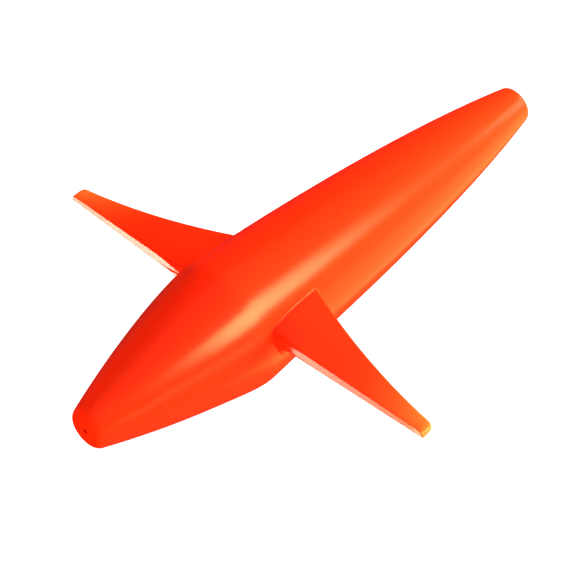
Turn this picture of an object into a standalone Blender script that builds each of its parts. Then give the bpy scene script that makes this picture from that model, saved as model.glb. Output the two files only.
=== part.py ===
"""A trolling bird teaser: a hollow float with two tapered wings, towed on a line that runs through it.

The float is moulded in two halves that meet on the upright plane through its axis, and each half
carries its own wing. The right half has a lip that enters a rebate in the left half, where the two
are glued. Between them the halves hold the line tube, on the axis, and the keel weight, in the belly.

World frame: the head points to -X, the tail to +X, up is +Z, and the belly touches z = 0.
A station is a distance along the axis from the head's end face. A span is a distance from the
upright middle plane, and a rise is a height above the axis.
"""

import math

import bmesh
import bpy
from mathutils import Vector

MM = 0.001

# Float, outside
LENGTH = 230.0 * MM
MAX_RADIUS = 26.3 * MM
CREST_STATION = 73.0 * MM
NOSE_ROUND = 3.6 * MM
NOSE_RADIUS = 9.0 * MM
NOSE_SLOPE = math.radians(19.3)
NOSE_HANDLE = 42.0 * MM
CREST_FORE_HANDLE = 5.0 * MM
CREST_AFT_HANDLE = 9.0 * MM
TAIL_ROUND = 2.8 * MM
TAIL_RADIUS = 7.8 * MM
TAIL_SLOPE = math.radians(13.3)
TAIL_HANDLE = 60.0 * MM

# Float, inside
WALL = 2.2 * MM
END_WALL = 9.0 * MM
LIP_THICKNESS = 0.8 * MM
LIP_DEPTH = 1.6 * MM
FORMER_THICKNESS = 2.0 * MM
TAIL_FORMER_STATION = 172.0 * MM
FIT_GAP = 0.3 * MM

# Wings
WING_STATION = 74.0 * MM
ROOT_SINK = 1.3 * MM
WING_ROOT_SPAN = MAX_RADIUS - ROOT_SINK
WING_TIP_SPAN = 96.5 * MM
WING_SWEEP = 7.2 * MM
ROOT_CHORD = 24.7 * MM
MIDDLE_CHORD = 12.7 * MM
TIP_CHORD = 5.8 * MM
ROOT_RISE = 8.4 * MM
TIP_DROP = 9.8 * MM
ROOT_FACET = 5.9 * MM
TIP_FACET = 3.2 * MM
REAR_EDGE = 1.4 * MM
TOP_CROWN = 0.05
CORE_WALL = 1.6 * MM
CORE_END = 0.6 * MM
CORE_TIP_SPAN = 62.0 * MM
TOP_FILLET = 3.0 * MM
UNDER_FILLET = 8.0 * MM
REAR_FILLET = 3.0 * MM

# Line tube
LINE_BORE_RADIUS = 1.1 * MM
TUBE_OUTER_RADIUS = 2.2 * MM
TUBE_END_COVER = 3.0 * MM
BORE_MOUTH = 0.3 * MM

# Keel weight
WEIGHT_RADIUS = 4.5 * MM
WEIGHT_LENGTH = 60.0 * MM
WEIGHT_STATION = 56.0 * MM
WEIGHT_FLOOR = 1.0 * MM
CARRIER_INSET = 14.0 * MM
WEIGHT_CHAMFER = 0.6 * MM

# Steps in the round surfaces
ROUND_SEGMENTS = 40
HEAD_STEPS = 9
AFT_STEPS = 10
CORNER_STEPS = 3
WING_STEPS = 9
FILLET_STEPS = 7
TOP_STEPS = 5

# The share of a fillet's radius, beyond the wing's root, that gets the closer steps
FILLET_REACH = 1.0
# A cutter runs past what it cuts by this much
OVERRUN = 2.0 * MM
# An inner body's surface is set this far inside a cut that already made the face
CLEAR_OF_CUT = 1.0 * MM

ORANGE = (0.93, 0.075, 0.012, 1.0)
NATURAL_NYLON = (0.72, 0.70, 0.63, 1.0)
ZINC_GREY = (0.42, 0.43, 0.44, 1.0)


# Scene set-up


def clear_scene():
    """Removes every object, so that the script gives the same scene each run."""
    for item in list(bpy.data.objects):
        bpy.data.objects.remove(item)


def new_collection(name):
    """Makes a collection under the scene's own."""
    made = bpy.data.collections.new(name)
    bpy.context.scene.collection.children.link(made)
    return made


def new_material(name, colour, roughness, metallic):
    """Makes a plain Principled material."""
    made = bpy.data.materials.new(name)
    made.use_nodes = True
    made.diffuse_color = colour
    shader = made.node_tree.nodes["Principled BSDF"]
    shader.inputs["Base Color"].default_value = colour
    shader.inputs["Roughness"].default_value = roughness
    shader.inputs["Metallic"].default_value = metallic
    return made


def add_object(name, mesh, collection, material=None):
    """Links a mesh as a named object, and gives it its material."""
    made = bpy.data.objects.new(name, mesh)
    collection.objects.link(made)
    if material:
        mesh.materials.append(material)
    return made


def as_cutter(item):
    """Marks an object as a helper that shapes others and isn't a part."""
    item.hide_render = True
    item.display_type = "WIRE"
    return item


def boolean(item, other, operation):
    """Cuts, joins or intersects an object with another."""
    modifier = item.modifiers.new(operation.lower() + "_" + other.name, "BOOLEAN")
    modifier.operation = operation
    modifier.solver = "EXACT"
    modifier.object = other


# The float's outline


def bezier(points, t):
    """A point on the cubic curve through four control points."""
    s = 1.0 - t
    weights = (s**3, 3 * s * s * t, 3 * s * t * t, t**3)
    return sum((w * p for w, p in zip(weights, points)), Vector((0.0, 0.0)))


def corner_arc(centre, radius, start, end):
    """Points on a round corner, with both of its ends."""
    angles = [start + (end - start) * i / CORNER_STEPS for i in range(CORNER_STEPS + 1)]
    return [centre + radius * Vector((math.cos(a), math.sin(a))) for a in angles]


def head_curve():
    """Control points from the nose's round corner to the widest station."""
    start = Vector((NOSE_ROUND * (1.0 - math.sin(NOSE_SLOPE)), NOSE_RADIUS))
    end = Vector((CREST_STATION, MAX_RADIUS))
    leaving = start + NOSE_HANDLE * Vector((math.cos(NOSE_SLOPE), math.sin(NOSE_SLOPE)))
    return [start, leaving, end - Vector((CREST_FORE_HANDLE, 0.0)), end]


def aft_curve():
    """Control points from the widest station to the tail's round corner."""
    start = Vector((CREST_STATION, MAX_RADIUS))
    end = Vector((LENGTH - TAIL_ROUND * (1.0 - math.sin(TAIL_SLOPE)), TAIL_RADIUS))
    arriving = end + TAIL_HANDLE * Vector((-math.cos(TAIL_SLOPE), math.sin(TAIL_SLOPE)))
    return [start, start + Vector((CREST_AFT_HANDLE, 0.0)), arriving, end]


def nose_corner():
    """The round corner between the nose's flat end face and the head."""
    flat_radius = NOSE_RADIUS - NOSE_ROUND * math.cos(NOSE_SLOPE)
    centre = Vector((NOSE_ROUND, flat_radius))
    return corner_arc(centre, NOSE_ROUND, math.pi, math.pi / 2 + NOSE_SLOPE)


def tail_corner():
    """The round corner between the aft body and the tail's flat end face."""
    flat_radius = TAIL_RADIUS - TAIL_ROUND * math.cos(TAIL_SLOPE)
    centre = Vector((LENGTH - TAIL_ROUND, flat_radius))
    return corner_arc(centre, TAIL_ROUND, math.pi / 2 - TAIL_SLOPE, 0.0)


def outer_outline():
    """The outline as (station, radius) points, from the nose's end face to the tail's."""
    head = [bezier(head_curve(), i / HEAD_STEPS) for i in range(1, HEAD_STEPS + 1)]
    aft = [bezier(aft_curve(), i / AFT_STEPS) for i in range(1, AFT_STEPS)]
    return nose_corner() + head + aft + tail_corner()


def outer_radius(station):
    """The float's outer radius at a station, on the straight lines between the outline's points."""
    points = outer_outline()
    for near, far in zip(points, points[1:]):
        if near.x <= station <= far.x and far.x > near.x:
            share = (station - near.x) / (far.x - near.x)
            return near.y + share * (far.y - near.y)
    return points[-1].y


def inset_outline(inset, end_inset):
    """The outline moved inwards by inset, between two flat ends that are end_inset from the float's."""
    first, last = end_inset, LENGTH - end_inset
    inner = [p.x for p in outer_outline() if first < p.x < last]
    return [Vector((x, outer_radius(x) - inset)) for x in [first, *inner, last]]


def turned(name, outline, collection, material=None):
    """Turns an outline about the axis, closing it with a flat face at each end."""
    profile = bmesh.new()
    closed = [Vector((outline[0].x, 0.0)), *outline, Vector((outline[-1].x, 0.0))]
    corners = [profile.verts.new((p.y, 0.0, p.x)) for p in reversed(closed)]
    for near, far in zip(corners, corners[1:]):
        profile.edges.new((near, far))
    mesh = bpy.data.meshes.new(name)
    profile.to_mesh(mesh)
    profile.free()
    made = add_object(name, mesh, collection, material)
    made.rotation_euler = (0.0, math.pi / 2, 0.0)
    made.location = world_point(0.0, 0.0, 0.0)
    screw = made.modifiers.new("turn", "SCREW")
    screw.axis = "Z"
    screw.steps = ROUND_SEGMENTS
    screw.render_steps = ROUND_SEGMENTS
    screw.use_merge_vertices = True
    screw.merge_threshold = 0.00001
    return made


def world_point(station, span, rise):
    """The world place of a station, a span and a rise."""
    return Vector((station - LENGTH / 2, span, rise + MAX_RADIUS))


# Simple forms


def rod(name, start, end, radius, rise, collection, end_radius=None):
    """A round rod or cone along the axis direction, between two stations."""
    form = bmesh.new()
    bmesh.ops.create_cone(
        form,
        cap_ends=True,
        segments=ROUND_SEGMENTS // 2,
        radius1=radius,
        radius2=radius if end_radius is None else end_radius,
        depth=end - start,
    )
    mesh = bpy.data.meshes.new(name)
    form.to_mesh(mesh)
    form.free()
    made = add_object(name, mesh, collection)
    made.rotation_euler = (0.0, math.pi / 2, 0.0)
    made.location = world_point((start + end) / 2, 0.0, rise)
    return made


def block(name, low, high, collection):
    """A box between two corners, each a station, a span and a rise."""
    form = bmesh.new()
    bmesh.ops.create_cube(form, size=1.0)
    size = Vector(high) - Vector(low)
    bmesh.ops.scale(form, vec=size, verts=form.verts)
    mesh = bpy.data.meshes.new(name)
    form.to_mesh(mesh)
    form.free()
    made = add_object(name, mesh, collection)
    middle = (Vector(low) + Vector(high)) / 2
    made.location = world_point(*middle)
    return made


def loft(name, rings, collection):
    """Joins rings of matching points into one closed skin, with a face across each end."""
    form = bmesh.new()
    layers = [[form.verts.new(p) for p in ring] for ring in rings]
    count = len(rings[0])
    for near, far in zip(layers, layers[1:]):
        for i in range(count):
            j = (i + 1) % count
            form.faces.new((near[i], near[j], far[j], far[i]))
    form.faces.new(layers[0][::-1])
    form.faces.new(layers[-1])
    bmesh.ops.recalc_face_normals(form, faces=form.faces)
    mesh = bpy.data.meshes.new(name)
    form.to_mesh(mesh)
    form.free()
    return add_object(name, mesh, collection)


# Wings


def wing_share(span):
    """How far out along the wing a span is: 0 at the root and 1 at the tip."""
    return (span - WING_ROOT_SPAN) / (WING_TIP_SPAN - WING_ROOT_SPAN)


def wing_chord(span):
    """The chord at a span: a parabola through the root, middle and tip chords."""
    t = wing_share(span)
    root = ROOT_CHORD * (1 - t) * (1 - 2 * t)
    middle = MIDDLE_CHORD * 4 * t * (1 - t)
    return root + middle + TIP_CHORD * t * (2 * t - 1)


def fillet_centre_span(rise, radius, way):
    """The span of a fillet's middle, for a fillet that touches the round float and a level surface.

    The surface is at a rise above the axis, and the fillet is on the side of it that way points to.
    """
    return math.sqrt((MAX_RADIUS + radius) ** 2 - (rise + way * radius) ** 2)


def fillet_growth(span, centre_span, radius):
    """How far a concave fillet stands out from the wing's surface at a span, and no more inside the float."""
    inner_span = centre_span * MAX_RADIUS / (MAX_RADIUS + radius)
    away = min(max(centre_span - max(span, inner_span), 0.0), radius)
    return radius - math.sqrt(radius**2 - away**2)


def wing_facet(span):
    """The height of the flat front facet at a span."""
    return ROOT_FACET + (TIP_FACET - ROOT_FACET) * wing_share(span)


def wing_front(span):
    """The station of the front facet at a span."""
    return WING_STATION + WING_SWEEP * wing_share(span)


def wing_top(span):
    """The rise of the wing's top edge at a span, without its root fillet."""
    return ROOT_RISE - TIP_DROP * wing_share(span) + wing_facet(span) / 2


def wing_section(span):
    """The wing's section at a span, as (station, rise) points: front facet, crowned top, rear edge."""
    root_top = wing_top(WING_ROOT_SPAN)
    root_under = root_top - wing_facet(WING_ROOT_SPAN)
    top_centre = fillet_centre_span(root_top, TOP_FILLET, 1)
    under_centre = fillet_centre_span(root_under, UNDER_FILLET, -1)
    rear_centre = WING_ROOT_SPAN + REAR_FILLET
    top = wing_top(span) + fillet_growth(span, top_centre, TOP_FILLET)
    under = wing_top(span) - wing_facet(span) - fillet_growth(span, under_centre, UNDER_FILLET)
    chord = wing_chord(span) + fillet_growth(span, rear_centre, REAR_FILLET)
    crown = wing_facet(span) * TOP_CROWN
    points = [Vector((wing_front(span), under))]
    for i in range(TOP_STEPS + 1):
        share = i / TOP_STEPS
        rise = top + 4 * crown * share * (1 - share)
        points.append(Vector((wing_front(span) + chord * share, rise)))
    points.append(Vector((wing_front(span) + chord, top - REAR_EDGE)))
    return points


def core_section(span):
    """The section of the wing's hollow at a span, which ends where the wing gets too thin for two walls."""
    facet = wing_facet(span)
    slope = (facet - REAR_EDGE) / wing_chord(span)
    front = wing_front(span) + CORE_WALL
    rear = wing_front(span) + (facet - 2 * CORE_WALL - CORE_END) / slope
    top = wing_top(span) - CORE_WALL
    under = wing_top(span) - facet + CORE_WALL
    front_under = under + slope * (front - wing_front(span))
    rear_under = under + slope * (rear - wing_front(span))
    corners = ((front, front_under), (front, top), (rear, top), (rear, rear_under))
    return [Vector(corner) for corner in corners]


def wing_spans(first, last):
    """Spans from inside the float out to the wing's tip, close together where the fillets curve."""
    deepest = max(TOP_FILLET, UNDER_FILLET, REAR_FILLET)
    near = WING_ROOT_SPAN - TOP_FILLET
    far = WING_ROOT_SPAN + deepest * FILLET_REACH
    curved = [near + (far - near) * i / FILLET_STEPS for i in range(FILLET_STEPS)]
    straight = [far + (last - far) * i / WING_STEPS for i in range(WING_STEPS + 1)]
    return [first, *curved, *straight]


def placed(section, side, span):
    """A section's points in the world, on one side of the float."""
    return [world_point(p.x, side * span, p.y) for p in section]


def wing_form(name, side, collection):
    """A whole wing, from inside the float's wall out to the tip."""
    spans = wing_spans(WING_ROOT_SPAN - 4 * WALL, WING_TIP_SPAN)
    rings = [placed(wing_section(span), side, span) for span in spans]
    return as_cutter(loft(name, rings, collection))


def wing_core(name, side, collection):
    """The hollow in a wing, which opens into the float."""
    first = WING_ROOT_SPAN - 5 * WALL
    spans = [first + (CORE_TIP_SPAN - first) * i / WING_STEPS for i in range(WING_STEPS + 1)]
    rings = [placed(core_section(span), side, span) for span in spans]
    return as_cutter(loft(name, rings, collection))


# Places that the inner pieces share


def weight_rise():
    """The height of the keel weight's middle, which keeps it off the float's inner wall at both ends."""
    ends = (WEIGHT_STATION, WEIGHT_STATION + WEIGHT_LENGTH)
    narrowest = min(outer_radius(end) for end in ends) - WALL
    return WEIGHT_FLOOR + WEIGHT_RADIUS - narrowest


def former_stations():
    """The middles of the formers: a stop and a carrier at each end of the weight, and one near the tail."""
    stop = FIT_GAP + FORMER_THICKNESS / 2
    start, end = WEIGHT_STATION, WEIGHT_STATION + WEIGHT_LENGTH
    carriers = [start + CARRIER_INSET, end - CARRIER_INSET]
    return [start - stop, *carriers, end + stop, TAIL_FORMER_STATION]


# Forms that hollow out the float


def cavity_form(collection):
    """The float's hollow, with a slot left solid for each former."""
    hollow = as_cutter(turned("cavity", inset_outline(WALL, END_WALL), collection))
    for number, station in enumerate(former_stations()):
        half = FORMER_THICKNESS / 2
        low = (station - half, -2 * MAX_RADIUS, -2 * MAX_RADIUS)
        high = (station + half, 2 * MAX_RADIUS, 2 * MAX_RADIUS)
        plate = as_cutter(block(f"former_{number}", low, high, collection))
        boolean(hollow, plate, "DIFFERENCE")
    return hollow


def bore_forms(collection):
    """The line's way through both end walls, the seat of the tube, and the seat of the weight."""
    mouth = LINE_BORE_RADIUS + BORE_MOUTH
    flare = mouth + OVERRUN
    tube_seat = TUBE_OUTER_RADIUS + FIT_GAP
    weight_seat = WEIGHT_RADIUS + FIT_GAP
    weight_end = WEIGHT_STATION + WEIGHT_LENGTH
    tube = (TUBE_END_COVER, LENGTH - TUBE_END_COVER)
    weight = (WEIGHT_STATION - FIT_GAP, weight_end + FIT_GAP)
    tail_mouth = (LENGTH - BORE_MOUTH, LENGTH + OVERRUN)
    forms = [
        rod("line_bore", -OVERRUN, LENGTH + OVERRUN, LINE_BORE_RADIUS, 0.0, collection),
        rod("nose_mouth", -OVERRUN, BORE_MOUTH, flare, 0.0, collection, LINE_BORE_RADIUS),
        rod("tail_mouth", *tail_mouth, LINE_BORE_RADIUS, 0.0, collection, flare),
        rod("tube_seat", *tube, tube_seat, 0.0, collection),
        rod("weight_seat", *weight, weight_seat, weight_rise(), collection),
    ]
    return [as_cutter(form) for form in forms]


def half_cutter(name, side, collection):
    """Everything on the far side of the parting plane from a half's own side."""
    edge = side * FIT_GAP / 2
    far = -side * 2 * WING_TIP_SPAN
    reach = 2 * MAX_RADIUS
    low = (-OVERRUN, min(edge, far), -reach)
    high = (LENGTH + OVERRUN, max(edge, far), reach)
    return as_cutter(block(name, low, high, collection))


def lip_ring(name, depth, outer_inset, past_wall, collection):
    """A band just inside the wall, from the left half's side of the parting plane to past the plane."""
    end_inset = END_WALL - (WALL - outer_inset)
    ring = as_cutter(turned(name, inset_outline(outer_inset, end_inset), collection))
    hollow_outline = inset_outline(WALL + past_wall, END_WALL + past_wall)
    hollow = as_cutter(turned(name + "_hollow", hollow_outline, collection))
    boolean(ring, hollow, "DIFFERENCE")
    reach = 2 * MAX_RADIUS
    low = (-OVERRUN, -depth, -reach)
    high = (LENGTH + OVERRUN, OVERRUN, reach)
    band = as_cutter(block(name + "_band", low, high, collection))
    boolean(ring, band, "INTERSECT")
    return ring


# The parts


def shell(name, side, parting, shared, collection, cutters, material):
    """One half of the float with its wing, its wall, its formers and its seats."""
    body = turned(name, outer_outline(), collection, material)
    boolean(body, wing_form(name + "_wing", side, cutters), "UNION")
    boolean(body, wing_core(name + "_core", side, cutters), "DIFFERENCE")
    for form in shared:
        boolean(body, form, "DIFFERENCE")
    for form in parting:
        boolean(body, form, "DIFFERENCE")
    return body


def build_shells(collection, cutters, material):
    """Both halves. The lip stays on the right half, and the left half is cut back to take it."""
    shared = [cavity_form(cutters), *bore_forms(cutters)]
    half_gap = FIT_GAP / 2
    lip = lip_ring("lip", half_gap + LIP_DEPTH, WALL - LIP_THICKNESS, CLEAR_OF_CUT, cutters)
    rebate_depth = half_gap + LIP_DEPTH + FIT_GAP
    rebate_inset = WALL - LIP_THICKNESS - FIT_GAP
    rebate = lip_ring("rebate", rebate_depth, rebate_inset, CLEAR_OF_CUT + FIT_GAP, cutters)
    left_cutter = half_cutter("left_parting", -1, cutters)
    right_cutter = half_cutter("right_parting", 1, cutters)
    boolean(right_cutter, lip, "DIFFERENCE")
    shell("shell_left", -1, [left_cutter, rebate], shared, collection, cutters, material)
    shell("shell_right", 1, [right_cutter], shared, collection, cutters, material)


def build_line_tube(collection, cutters, material):
    """The tube that carries the line through the hollow float."""
    start, end = TUBE_END_COVER + FIT_GAP, LENGTH - TUBE_END_COVER - FIT_GAP
    tube = rod("line_tube", start, end, TUBE_OUTER_RADIUS, 0.0, collection)
    tube.data.materials.append(material)
    bore = (-OVERRUN, LENGTH + OVERRUN)
    hole = as_cutter(rod("tube_bore", *bore, LINE_BORE_RADIUS, 0.0, cutters))
    boolean(tube, hole, "DIFFERENCE")
    tube.data.shade_smooth()


def build_keel_weight(collection, material):
    """The steel rod that keeps the wings level."""
    end = WEIGHT_STATION + WEIGHT_LENGTH
    weight = rod("keel_weight", WEIGHT_STATION, end, WEIGHT_RADIUS, weight_rise(), collection)
    weight.data.materials.append(material)
    bevel = weight.modifiers.new("end_chamfer", "BEVEL")
    bevel.width = WEIGHT_CHAMFER
    bevel.segments = 1
    bevel.limit_method = "ANGLE"


def main():
    """Builds the whole teaser."""
    clear_scene()
    teaser = new_collection("trolling_bird_teaser")
    cutters = new_collection("cutters")
    build_shells(teaser, cutters, new_material("float_orange", ORANGE, 0.22, 0.0))
    build_line_tube(teaser, cutters, new_material("tube_nylon", NATURAL_NYLON, 0.45, 0.0))
    build_keel_weight(teaser, new_material("weight_steel", ZINC_GREY, 0.4, 1.0))


main()
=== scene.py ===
"""The looks of a trolling bird teaser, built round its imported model.

Each half of the float is a turned shell with a wing that grows out of it through a moulded root.
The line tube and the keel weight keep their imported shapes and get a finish.

A place is given in float coordinates: a station along the axis from the head's end face, a span
out from the upright middle plane, and a rise above the axis. All sizes are in metres.
"""

from __future__ import annotations

import bisect
import logging
import math
from collections.abc import Callable
from dataclasses import dataclass, field
from enum import Enum

import bmesh
import bpy
from mathutils import Matrix, Vector
from mathutils.geometry import delaunay_2d_cdt


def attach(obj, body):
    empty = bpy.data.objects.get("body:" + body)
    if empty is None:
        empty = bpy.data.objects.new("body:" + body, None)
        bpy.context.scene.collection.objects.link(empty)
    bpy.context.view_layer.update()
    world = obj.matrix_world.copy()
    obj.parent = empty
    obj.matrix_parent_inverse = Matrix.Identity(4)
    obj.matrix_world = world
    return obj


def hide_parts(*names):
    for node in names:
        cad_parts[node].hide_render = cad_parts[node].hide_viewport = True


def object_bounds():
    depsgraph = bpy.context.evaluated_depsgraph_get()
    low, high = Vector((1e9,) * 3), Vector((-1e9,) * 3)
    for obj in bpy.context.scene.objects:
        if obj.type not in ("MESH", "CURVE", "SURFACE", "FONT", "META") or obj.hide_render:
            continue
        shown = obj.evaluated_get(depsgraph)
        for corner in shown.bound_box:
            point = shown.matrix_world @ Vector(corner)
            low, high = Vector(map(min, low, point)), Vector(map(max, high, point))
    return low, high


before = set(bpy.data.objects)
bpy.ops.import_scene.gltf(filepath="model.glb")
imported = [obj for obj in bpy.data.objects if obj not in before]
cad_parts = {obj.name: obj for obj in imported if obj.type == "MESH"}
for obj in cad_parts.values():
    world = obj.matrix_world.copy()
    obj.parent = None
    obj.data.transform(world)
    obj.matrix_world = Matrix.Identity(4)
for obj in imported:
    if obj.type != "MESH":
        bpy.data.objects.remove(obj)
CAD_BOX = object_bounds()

MM = 0.001
LENGTH = CAD_BOX[1][0] - CAD_BOX[0][0]
CREST_RADIUS = (CAD_BOX[1][2] - CAD_BOX[0][2]) / 2
WING_TIP_SPAN = (CAD_BOX[1][1] - CAD_BOX[0][1]) / 2

WHITE = (1.0, 1.0, 1.0)
WARM_WHITE = (1.0, 0.8, 0.6)
AMBER = (1.0, 0.5, 0.15)
NEGLIGIBLE_ANGLE = 1e-6
NEGLIGIBLE_LENGTH = 1e-9
HALVINGS = 40
INSIDE_ONLY = 1

log = logging.getLogger("teaser")


class Side(Enum):
    """Which half of the float a piece belongs to, as the sign of its world Y."""

    LEFT = -1.0
    RIGHT = 1.0


class Contour(Enum):
    """The stretches of a wing's section behind the front facet, in order round it."""

    TOP = "crowned top"
    REAR = "round rear edge"
    UNDER = "sloping underside"


def slerp(first: Vector, last: Vector, share: float) -> Vector:
    """Turns one unit direction towards another.

    Args:
        first: the direction at a share of 0.
        last: the direction at a share of 1.
        share: how far to turn.

    Returns:
        The unit direction between them.
    """
    angle = first.angle(last)
    if angle < NEGLIGIBLE_ANGLE:
        return first.copy()
    near = math.sin((1.0 - share) * angle)
    far = math.sin(share * angle)
    return (near * first + far * last) / math.sin(angle)


def bezier(points: list[Vector], share: float) -> Vector:
    """A point on the cubic curve through four control points."""
    rest = 1.0 - share
    weights = (rest**3, 3 * rest**2 * share, 3 * rest * share**2, share**3)
    return sum((w * p for w, p in zip(weights, points)), Vector((0.0, 0.0)))


def arc(centre: Vector, radius: float, start: float, end: float, steps: int) -> list[Vector]:
    """Points on an arc, with both of its ends."""
    angles = [start + (end - start) * i / steps for i in range(steps + 1)]
    return [centre + radius * Vector((math.cos(a), math.sin(a))) for a in angles]


def bell(distance: float, width: float) -> float:
    """A smooth hump of height 1 that has fallen to 0.61 at its width."""
    return math.exp(-0.5 * (distance / width) ** 2)


@dataclass
class FloatBody:
    """The round float: its outline, its hollow, and any place on its skin."""

    nose_round: float = 3.6 * MM
    nose_radius: float = 9.0 * MM
    nose_slope: float = math.radians(19.3)
    nose_handle: float = 42.0 * MM
    crest_station: float = 73.0 * MM
    crest_fore_handle: float = 5.0 * MM
    crest_aft_handle: float = 9.0 * MM
    tail_round: float = 2.8 * MM
    tail_radius: float = 7.8 * MM
    tail_slope: float = math.radians(13.3)
    tail_handle: float = 60.0 * MM
    wall: float = 2.2 * MM
    end_wall: float = 9.0 * MM
    bore_radius: float = 1.1 * MM
    bore_mouth: float = 0.3 * MM
    tube_seat_radius: float = 2.5 * MM
    tube_seat_depth: float = 3.0 * MM
    swell_height: float = 0.8 * MM
    swell_station: float = 70.0 * MM
    swell_length: float = 9.0 * MM
    swell_angle: float = math.radians(-40.0)
    swell_width: float = math.radians(18.0)
    swell_foot: float = 0.03
    search_step: float = 0.5 * MM
    search_rounds: int = 10
    corner_steps: int = 8
    head_steps: int = 44
    aft_steps: int = 64
    table: list[Vector] = field(default_factory=list)

    def __post_init__(self) -> None:
        """Works out the skin's outline once."""
        self.table = self.outline()

    def outline(self) -> list[Vector]:
        """Draws the skin's outline.

        Returns:
            Points as (station, radius), from the head's end face to the tail's.
        """
        nose_flat = self.nose_radius - self.nose_round * math.cos(self.nose_slope)
        tail_flat = self.tail_radius - self.tail_round * math.cos(self.tail_slope)
        nose_centre = Vector((self.nose_round, nose_flat))
        tail_centre = Vector((LENGTH - self.tail_round, tail_flat))
        quarter = math.pi / 2
        nose_end, tail_start = quarter + self.nose_slope, quarter - self.tail_slope
        nose = arc(nose_centre, self.nose_round, math.pi, nose_end, self.corner_steps)
        tail = arc(tail_centre, self.tail_round, tail_start, 0.0, self.corner_steps)
        crest = Vector((self.crest_station, CREST_RADIUS))
        leaving = Vector((math.cos(self.nose_slope), math.sin(self.nose_slope)))
        arriving = Vector((-math.cos(self.tail_slope), math.sin(self.tail_slope)))
        head = [nose[-1], nose[-1] + self.nose_handle * leaving]
        head += [crest - Vector((self.crest_fore_handle, 0.0)), crest]
        aft = [crest, crest + Vector((self.crest_aft_handle, 0.0))]
        aft += [tail[0] + self.tail_handle * arriving, tail[0]]
        fore_points = [bezier(head, i / self.head_steps) for i in range(1, self.head_steps + 1)]
        aft_points = [bezier(aft, i / self.aft_steps) for i in range(1, self.aft_steps)]
        return nose + fore_points + aft_points + tail

    def outline_radius(self, station: float) -> float:
        """The turned skin's radius, read between the outline's points.

        Args:
            station: the place along the axis.

        Returns:
            The radius there.
        """
        stations = [p.x for p in self.table]
        place = min(max(bisect.bisect_left(stations, station), 1), len(self.table) - 1)
        near, far = self.table[place - 1], self.table[place]
        share = (station - near.x) / max(far.x - near.x, NEGLIGIBLE_LENGTH)
        return near.y + (far.y - near.y) * min(max(share, 0.0), 1.0)

    def swell(self, station: float, angle: float) -> float:
        """How far the skin stands out under the front of the wing's root.

        Args:
            station: the place along the axis.
            angle: the turn up from the level outward direction.

        Returns:
            The height to add to the radius.
        """
        along = bell(station - self.swell_station, self.swell_length)
        around = bell(angle - self.swell_angle, self.swell_width) - self.swell_foot
        return self.swell_height * along * max(around, 0.0)

    def radius(self, station: float, angle: float) -> float:
        """The skin's radius at a station and an angle."""
        return self.outline_radius(station) + self.swell(station, angle)

    def skin(self, station: float, angle: float) -> Vector:
        """The place on the skin at a station and an angle, in float coordinates."""
        radius = self.radius(station, angle)
        return Vector((station, radius * math.cos(angle), radius * math.sin(angle)))

    def height(self, point: Vector) -> float:
        """How far a point is outside the skin, straight out from the axis."""
        reach = math.hypot(point.y, point.z)
        return reach - self.radius(point.x, math.atan2(point.z, point.y))

    def nearest(self, point: Vector) -> Vector:
        """Finds the place on the skin that is nearest to a point outside it.

        Args:
            point: the place to start from, in float coordinates.

        Returns:
            The nearest place, at the same angle about the axis.
        """
        angle = math.atan2(point.z, point.y)
        reach = math.hypot(point.y, point.z)
        step = self.search_step
        station = point.x
        for _ in range(self.search_rounds):
            slope = self.radius(station + step, angle) - self.radius(station - step, angle)
            station = point.x + (reach - self.radius(station, angle)) * slope / (2 * step)
        return self.skin(station, angle)

    def profile(self) -> list[Vector]:
        """Draws the closed outline of the shell's wall.

        Returns:
            Points as (station, radius), over the skin, the end faces, bores, tube seats and hollow.
        """
        mouth = self.bore_radius + self.bore_mouth
        seat, depth = self.tube_seat_radius, self.tube_seat_depth
        tail = [(LENGTH, mouth), (LENGTH - self.bore_mouth, self.bore_radius)]
        tail += [(LENGTH - depth, self.bore_radius), (LENGTH - depth, seat)]
        tail += [(LENGTH - self.end_wall, seat)]
        nose = [(self.end_wall, seat), (depth, seat), (depth, self.bore_radius)]
        nose += [(self.bore_mouth, self.bore_radius), (0.0, mouth)]
        first, last = self.end_wall, LENGTH - self.end_wall
        inner = [p.x for p in self.table if first < p.x < last][::-2]
        hollow = [(x, self.outline_radius(x) - self.wall) for x in [last, *inner, first]]
        return self.table + [Vector(p) for p in tail + hollow + nose]


@dataclass
class Generator:
    """A line on the wing that runs straight in from the tip and then curves down onto the float.

    Its run is a number from 0 at the tip, through 1 where the root fillet starts, to 2 at the skin.
    """

    start: float
    contact: float
    place: Callable[[float], tuple[Vector, Vector]]
    centre: Vector
    radius: float
    leaving: Vector
    arriving: Vector

    def at(self, run: float) -> tuple[Vector, Vector]:
        """The place and the outward direction at a run."""
        if run <= 1.0:
            return self.place(self.start + (self.contact - self.start) * run)
        turned = slerp(self.leaving, self.arriving, run - 1.0)
        return self.centre + self.radius * turned, -turned


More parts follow.
